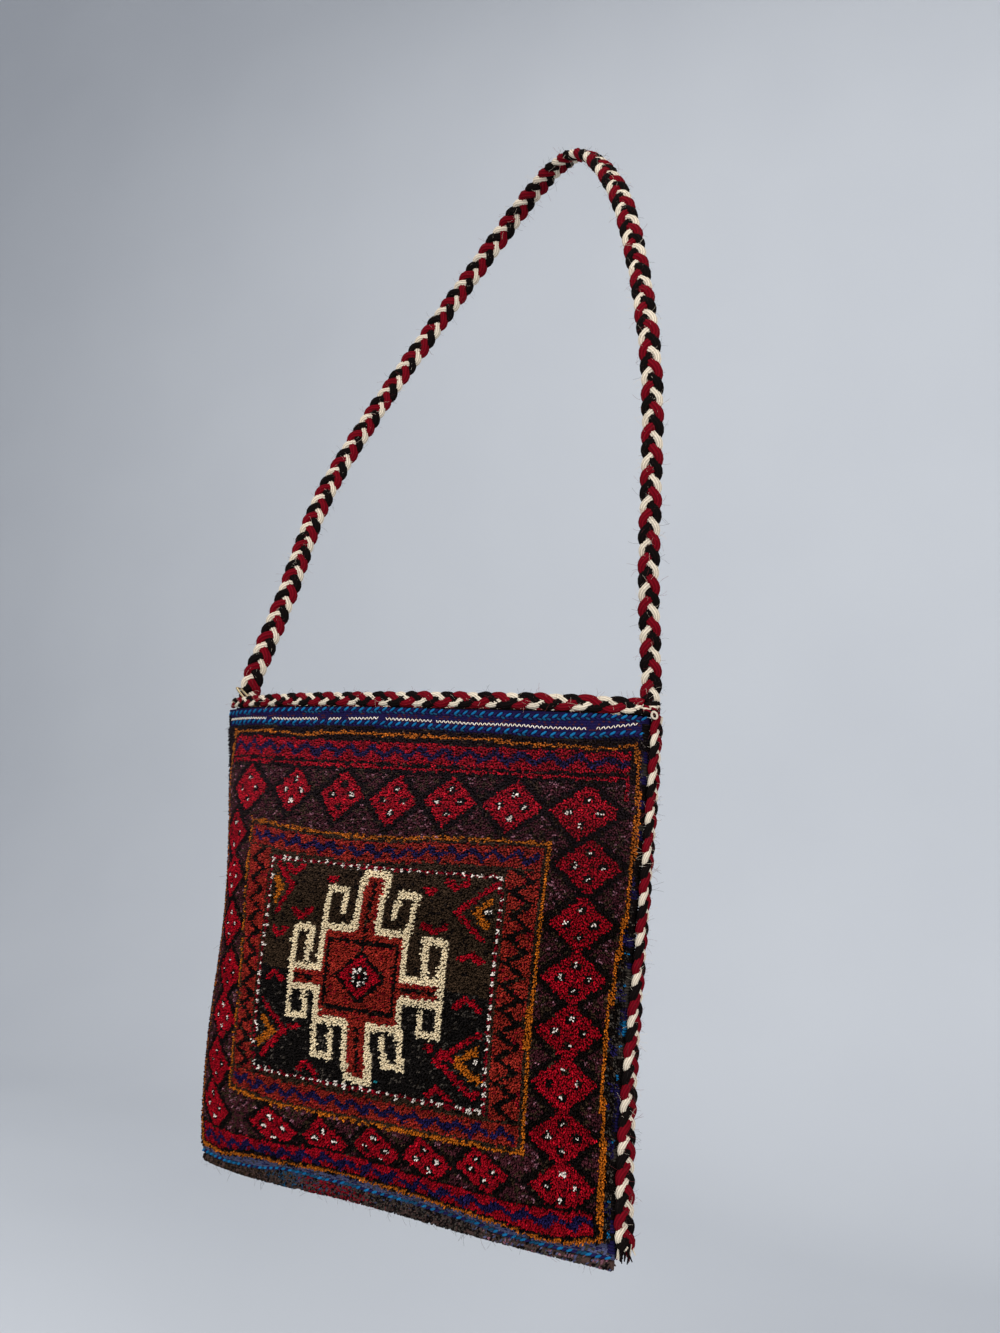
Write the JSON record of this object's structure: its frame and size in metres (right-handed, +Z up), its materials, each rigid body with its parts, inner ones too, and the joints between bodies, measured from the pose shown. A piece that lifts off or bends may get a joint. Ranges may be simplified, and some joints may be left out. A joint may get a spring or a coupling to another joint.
{
  "type": "zipped shoulder bag",
  "caption": "Shoulder bag made from a small knotted-pile rug, with a long plaited wool strap, plaited edges and a zip across the mouth.",
  "frame": {"origin": "underside of the strap at its highest point, where it rests on whatever carries it", "axes": "+Z up, away from what carries the strap; -Y out of the bag's patterned front; +X to the right seen from the front"},
  "size_m": [0.373, 0.1386, 0.7968],
  "materials": {
    "rug_pile": "matte knotted wool pile, patterned",
    "back_weave": "matte flat-woven wool",
    "plait_wool": "plaited wool in cream, red and black",
    "strap_wool": "plaited wool in cream, red and black",
    "side_plait_wool": "plaited wool in cream, red and black",
    "binding_yarn": "dark wool overcasting",
    "knot_yarn": "wound wool yarn",
    "hem_cloth": "raw woven edge, sewn over",
    "zip_tape_cotton": "woven tape",
    "zip_brass": "worn",
    "ring_brass": "polished"
  },
  "bodies": {
    "bag": {"front_panel": "rug_pile", "back_panel": "back_weave", "rim_plait_front": "plait_wool", "rim_plait_back": "plait_wool", "side_binding_left": "binding_yarn", "side_binding_right": "binding_yarn", "side_plait_left": "side_plait_wool", "side_plait_right": "side_plait_wool", "plait_tail_left": "side_plait_wool", "plait_tail_right": "side_plait_wool", "corner_knot_left": "knot_yarn", "corner_knot_right": "knot_yarn", "bottom_hem": "hem_cloth", "strap": "strap_wool", "zip_tape_front": "zip_tape_cotton", "zip_tape_back": "zip_tape_cotton", "zip_teeth_front": "zip_brass", "zip_teeth_back": "zip_brass", "zip_stop_front_left": "zip_brass", "zip_stop_front_right": "zip_brass", "zip_stop_back_left": "zip_brass", "zip_stop_back_right": "zip_brass"},
    "slider": {"zip_slider": "zip_brass"},
    "ring": {"pull_ring": "ring_brass"}
  },
  "joints": [
    {"name": "zip_slide", "type": "slide", "parent": "bag", "child": "slider", "axis": [1, 0, 0], "range_m": [0, 0.2965]},
    {"name": "ring_swing", "type": "hinge", "parent": "slider", "child": "ring", "pos_m": [-0.22045, -0.03203, -0.4364], "axis": [0, 1, 0], "range_deg": [0, 140]}
  ]
}
